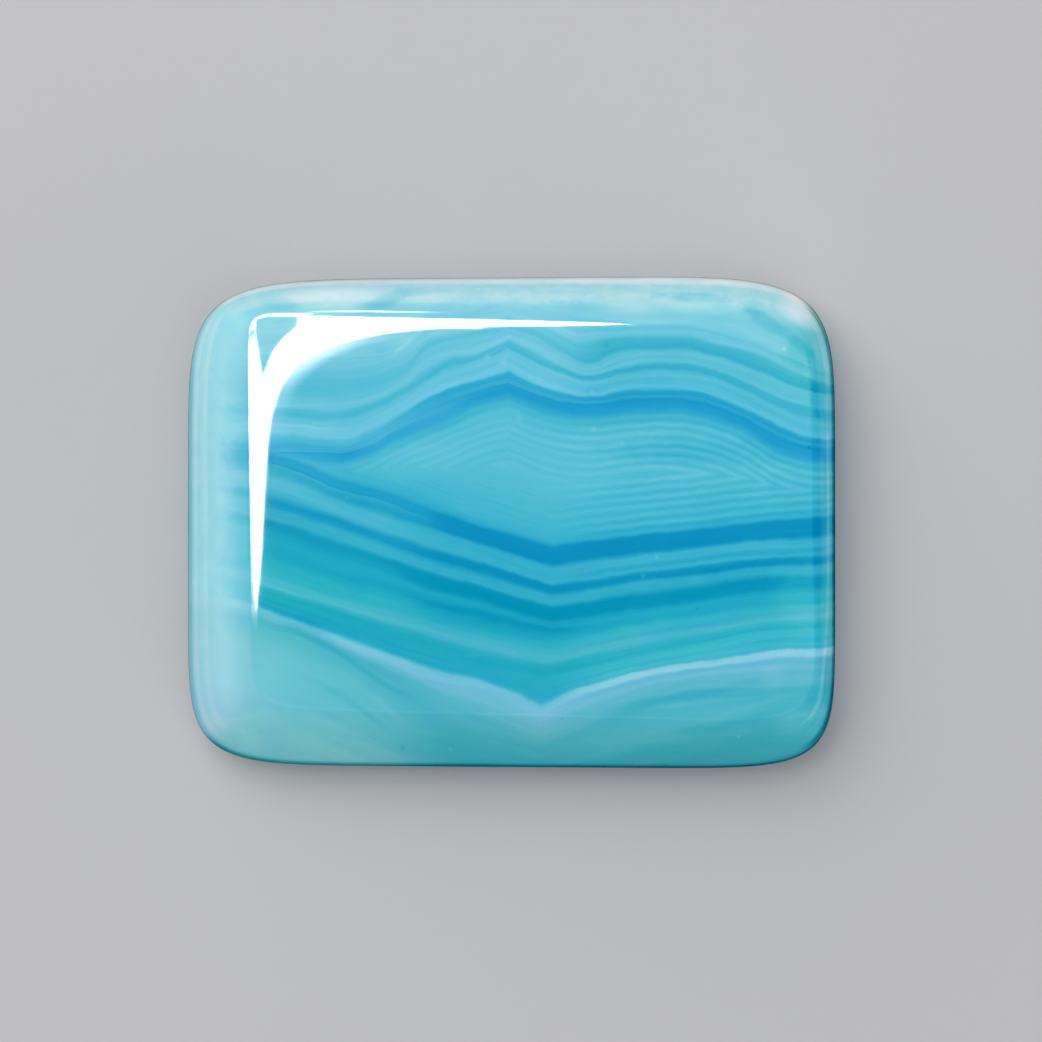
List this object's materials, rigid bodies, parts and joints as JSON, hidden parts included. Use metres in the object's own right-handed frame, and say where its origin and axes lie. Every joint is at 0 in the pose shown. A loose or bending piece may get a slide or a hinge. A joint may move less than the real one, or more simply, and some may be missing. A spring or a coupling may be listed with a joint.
{
  "type": "agate cabochon",
  "caption": "Flat-backed cushion cabochon of banded blue agate, with a gently domed polished face, soft corners and a rounded edge.",
  "frame": {"origin": "centre of the flat back, at the middle of the bounding box's bottom", "axes": "+X along the stone's length, to the right in the picture; +Y across it, to the picture's top; +Z out through the domed face"},
  "size_m": [0.0244, 0.0186, 0.0047],
  "materials": {
    "banded_agate": "high polish on the face and edge, fine lapped satin on the flat back"
  },
  "bodies": {
    "root": {"agate_cabochon": "banded_agate"}
  },
  "joints": []
}
